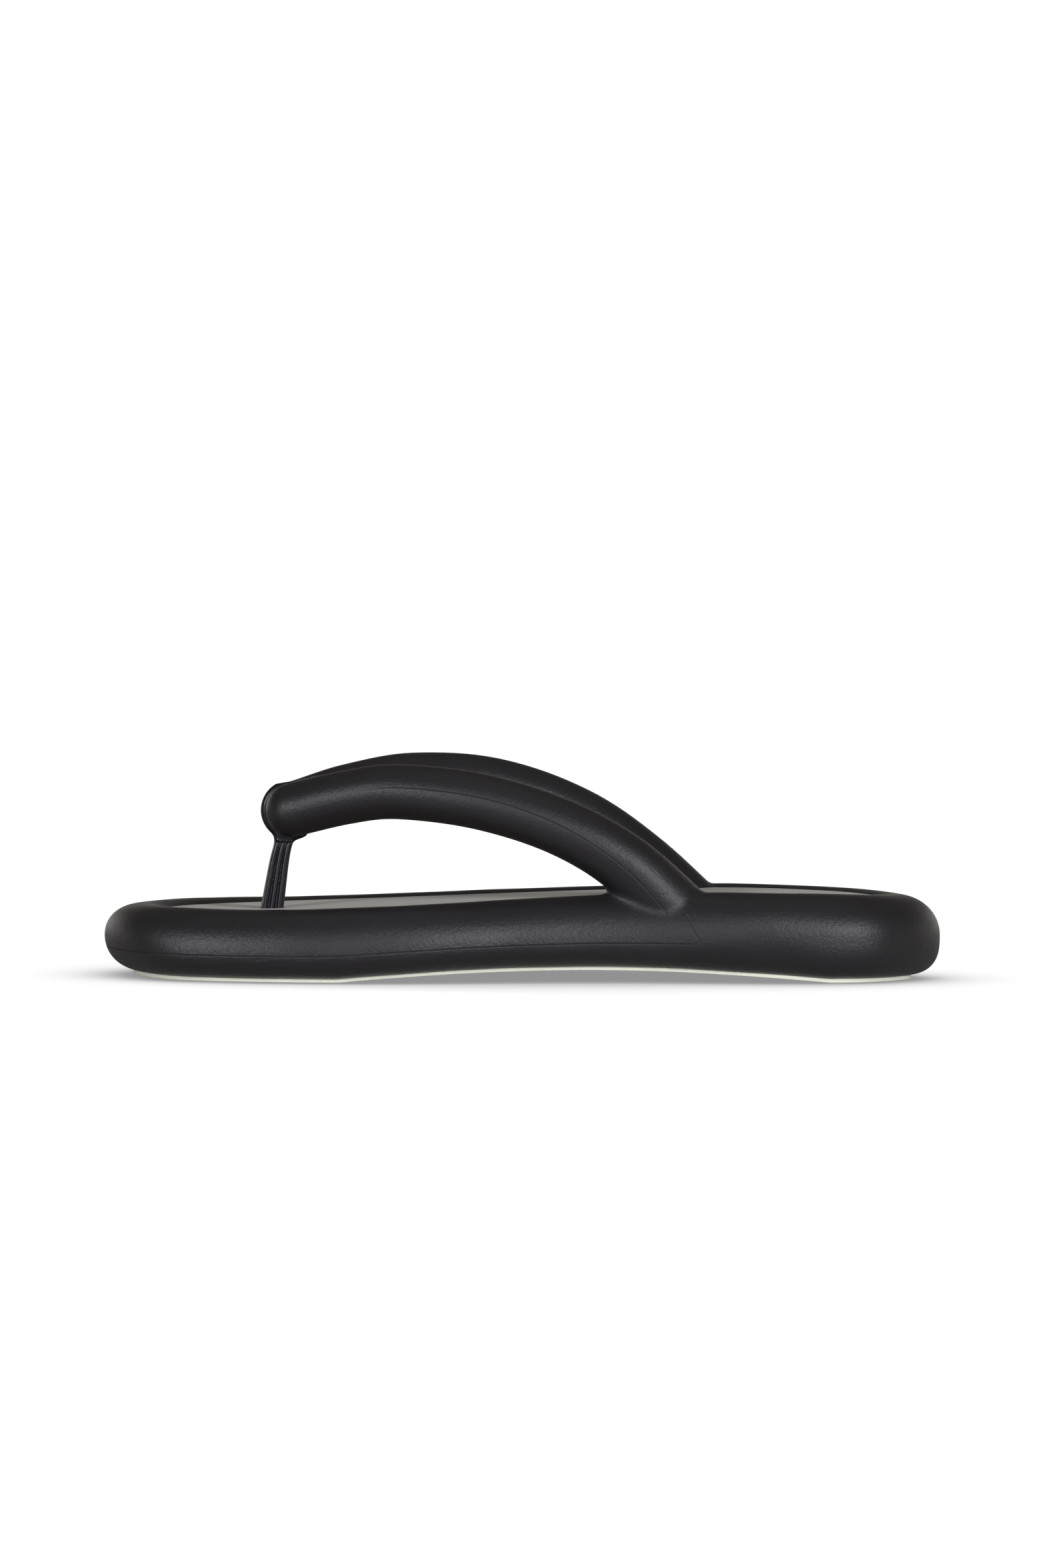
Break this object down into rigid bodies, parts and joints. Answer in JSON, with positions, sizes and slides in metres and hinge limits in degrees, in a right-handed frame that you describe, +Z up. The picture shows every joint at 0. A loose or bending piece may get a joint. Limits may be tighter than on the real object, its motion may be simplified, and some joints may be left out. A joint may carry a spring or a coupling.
{
  "type": "thong sandal",
  "caption": "Thong sandal for a right foot with a tubular rim, two tubular straps, a ribbed toe post, a soft footbed and a thin arched outsole.",
  "frame": {"origin": "centre of the bounding box's bottom face, on the ground under the middle of the shoe", "axes": "+X towards the heel, +Z up, -Y towards the big-toe side"},
  "size_m": [0.285, 0.116, 0.0754],
  "materials": {
    "moulded_foam": "matte moulded foam with a fine blasted grain",
    "core_foam": "cut closed-cell foam",
    "pad_foam": "soft open foam",
    "insole_sheet": "matte sheet with fine lengthwise streaks",
    "gloss_post": "glossy moulded elastomer",
    "washer_steel": "plain",
    "outsole_rubber": "matte moulded rubber"
  },
  "bodies": {
    "root": {"body_moulding": "moulded_foam", "midsole_core": "core_foam", "footbed_pad": "pad_foam", "insole_sock": "insole_sheet", "toe_post": "gloss_post", "post_washer": "washer_steel", "outsole": "outsole_rubber"}
  },
  "joints": []
}
